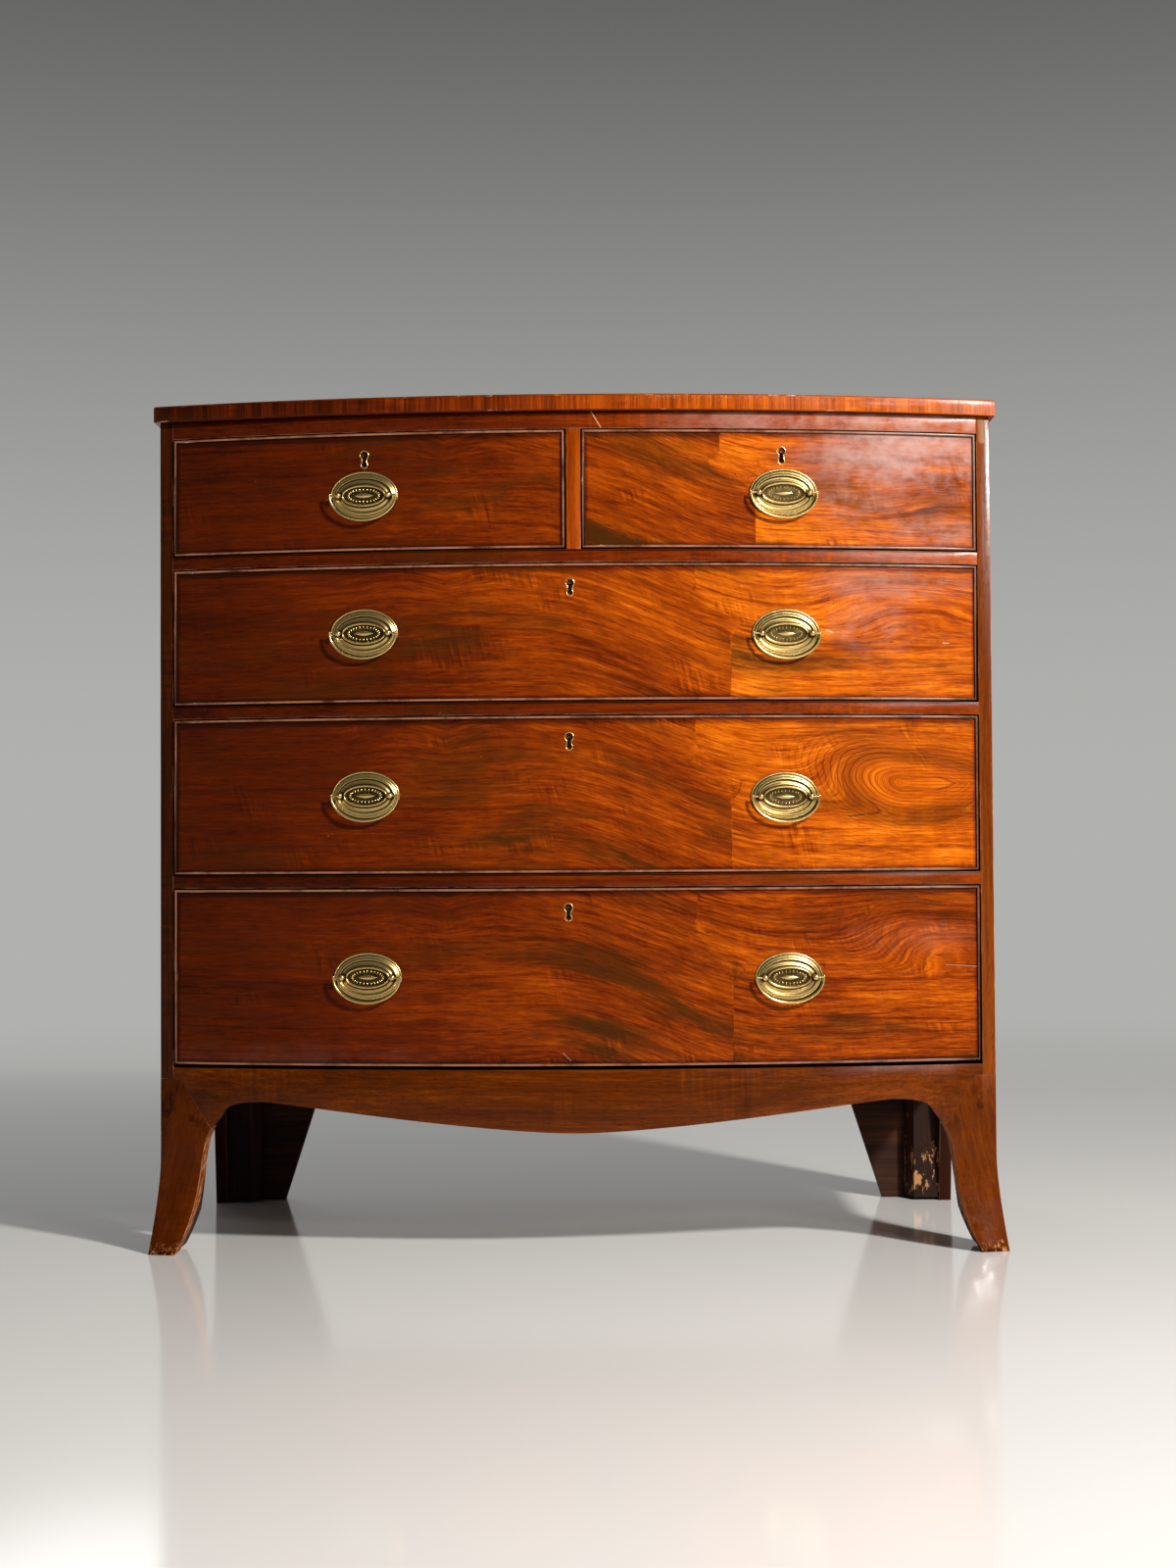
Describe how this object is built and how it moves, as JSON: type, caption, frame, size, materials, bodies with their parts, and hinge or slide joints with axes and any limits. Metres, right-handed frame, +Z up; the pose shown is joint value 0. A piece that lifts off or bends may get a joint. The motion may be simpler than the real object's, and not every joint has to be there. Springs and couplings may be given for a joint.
{
  "type": "bow front chest of drawers",
  "caption": "Bow-fronted mahogany chest with short drawers above full-width ones, oval brass bail handles and splayed bracket feet.",
  "frame": {"origin": "on the floor, in the middle of the whole outline in width and depth", "axes": "+X to the right seen from the front, +Y towards the back (the drawers open towards -Y), +Z up"},
  "size_m": [1.073, 0.555, 1.066],
  "materials": {
    "mahogany_veneer": "glossy French polish over figured veneer",
    "solid_mahogany": "glossy French polish",
    "oak": "bare, dry and darkened with age",
    "pine": "bare, rough-planed and stained by age",
    "brass": "aged, polished on the high parts",
    "lock_iron": "dull, old"
  },
  "bodies": {
    "case": {"top_board": "solid_mahogany", "side_left": "solid_mahogany", "side_right": "solid_mahogany", "top_rail": "mahogany_veneer", "top_back_rail": "pine", "centre_divider": "mahogany_veneer", "drawer_rail_1": "mahogany_veneer", "drawer_rail_2": "mahogany_veneer", "drawer_rail_3": "mahogany_veneer", "drawer_runners": "pine", "dust_boards": "pine", "drawer_stops": "pine", "bottom_board": "pine", "back_boards": "pine", "apron": "mahogany_veneer", "front_foot_left": "mahogany_veneer", "front_foot_right": "mahogany_veneer", "side_plinth_left": "solid_mahogany", "side_plinth_right": "solid_mahogany", "rear_foot_left": "pine", "rear_foot_right": "pine", "glue_blocks": "pine"},
    "drawer_short_left": {"drawer_front_short_left": "mahogany_veneer", "drawer_box_short_left": "oak", "cock_beads_short_left": "solid_mahogany", "brasses_short_left": "brass", "lock_short_left": "lock_iron"},
    "bolt_short_left": {"lock_bolt_short_left": "lock_iron"},
    "handle_short_left": {"bail_short_left": "brass"},
    "drawer_short_right": {"drawer_front_short_right": "mahogany_veneer", "drawer_box_short_right": "oak", "cock_beads_short_right": "solid_mahogany", "brasses_short_right": "brass", "lock_short_right": "lock_iron"},
    "bolt_short_right": {"lock_bolt_short_right": "lock_iron"},
    "handle_short_right": {"bail_short_right": "brass"},
    "drawer_long_upper": {"drawer_front_long_upper": "mahogany_veneer", "drawer_box_long_upper": "oak", "cock_beads_long_upper": "solid_mahogany", "brasses_long_upper": "brass", "lock_long_upper": "lock_iron"},
    "bolt_long_upper": {"lock_bolt_long_upper": "lock_iron"},
    "handle_long_upper_left": {"bail_long_upper_left": "brass"},
    "handle_long_upper_right": {"bail_long_upper_right": "brass"},
    "drawer_long_middle": {"drawer_front_long_middle": "mahogany_veneer", "drawer_box_long_middle": "oak", "cock_beads_long_middle": "solid_mahogany", "brasses_long_middle": "brass", "lock_long_middle": "lock_iron"},
    "bolt_long_middle": {"lock_bolt_long_middle": "lock_iron"},
    "handle_long_middle_left": {"bail_long_middle_left": "brass"},
    "handle_long_middle_right": {"bail_long_middle_right": "brass"},
    "drawer_long_lower": {"drawer_front_long_lower": "mahogany_veneer", "drawer_box_long_lower": "oak", "cock_beads_long_lower": "solid_mahogany", "brasses_long_lower": "brass", "lock_long_lower": "lock_iron"},
    "bolt_long_lower": {"lock_bolt_long_lower": "lock_iron"},
    "handle_long_lower_left": {"bail_long_lower_left": "brass"},
    "handle_long_lower_right": {"bail_long_lower_right": "brass"}
  },
  "joints": [
    {"name": "short_left_drawer_slide", "type": "slide", "parent": "case", "child": "drawer_short_left", "axis": [0, -1, 0], "range_m": [0, 0.3]},
    {"name": "short_left_lock_bolt", "type": "slide", "parent": "drawer_short_left", "child": "bolt_short_left", "axis": [0, 0, 1], "range_m": [0, 0.008]},
    {"name": "short_left_handle_swing", "type": "hinge", "parent": "drawer_short_left", "child": "handle_short_left", "pos_m": [-0.26211, -0.26131, 0.944], "axis": [-0.9924, 0.1231, 0], "range_deg": [-6, 180]},
    {"name": "short_right_drawer_slide", "type": "slide", "parent": "case", "child": "drawer_short_right", "axis": [0, -1, 0], "range_m": [0, 0.3]},
    {"name": "short_right_lock_bolt", "type": "slide", "parent": "drawer_short_right", "child": "bolt_short_right", "axis": [0, 0, 1], "range_m": [0, 0.008]},
    {"name": "short_right_handle_swing", "type": "hinge", "parent": "drawer_short_right", "child": "handle_short_right", "pos_m": [0.26211, -0.26131, 0.9435], "axis": [-0.9924, -0.1231, 0], "range_deg": [-6, 180]},
    {"name": "long_upper_drawer_slide", "type": "slide", "parent": "case", "child": "drawer_long_upper", "axis": [0, -1, 0], "range_m": [0, 0.3]},
    {"name": "long_upper_lock_bolt", "type": "slide", "parent": "drawer_long_upper", "child": "bolt_long_upper", "axis": [0, 0, 1], "range_m": [0, 0.008]},
    {"name": "long_upper_left_handle_swing", "type": "hinge", "parent": "drawer_long_upper", "child": "handle_long_upper_left", "pos_m": [-0.26261, -0.26125, 0.772], "axis": [-0.9924, 0.1233, 0], "range_deg": [-6, 180]},
    {"name": "long_upper_right_handle_swing", "type": "hinge", "parent": "drawer_long_upper", "child": "handle_long_upper_right", "pos_m": [0.26412, -0.26106, 0.7685], "axis": [-0.9923, -0.124, 0], "range_deg": [-6, 180]},
    {"name": "long_middle_drawer_slide", "type": "slide", "parent": "case", "child": "drawer_long_middle", "axis": [0, -1, 0], "range_m": [0, 0.3]},
    {"name": "long_middle_lock_bolt", "type": "slide", "parent": "drawer_long_middle", "child": "bolt_long_middle", "axis": [0, 0, 1], "range_m": [0, 0.008]},
    {"name": "long_middle_left_handle_swing", "type": "hinge", "parent": "drawer_long_middle", "child": "handle_long_middle_left", "pos_m": [-0.2611, -0.26144, 0.57], "axis": [-0.9925, 0.1226, 0], "range_deg": [-6, 180]},
    {"name": "long_middle_right_handle_swing", "type": "hinge", "parent": "drawer_long_middle", "child": "handle_long_middle_right", "pos_m": [0.2611, -0.26144, 0.566], "axis": [-0.9925, -0.1226, 0], "range_deg": [-6, 180]},
    {"name": "long_lower_drawer_slide", "type": "slide", "parent": "case", "child": "drawer_long_lower", "axis": [0, -1, 0], "range_m": [0, 0.3]},
    {"name": "long_lower_lock_bolt", "type": "slide", "parent": "drawer_long_lower", "child": "bolt_long_lower", "axis": [0, 0, 1], "range_m": [0, 0.008]},
    {"name": "long_lower_left_handle_swing", "type": "hinge", "parent": "drawer_long_lower", "child": "handle_long_lower_left", "pos_m": [-0.25909, -0.26168, 0.345], "axis": [-0.9926, 0.1216, 0], "range_deg": [-6, 180]},
    {"name": "long_lower_right_handle_swing", "type": "hinge", "parent": "drawer_long_lower", "child": "handle_long_lower_right", "pos_m": [0.26462, -0.261, 0.3425], "axis": [-0.9923, -0.1242, 0], "range_deg": [-6, 180]}
  ]
}
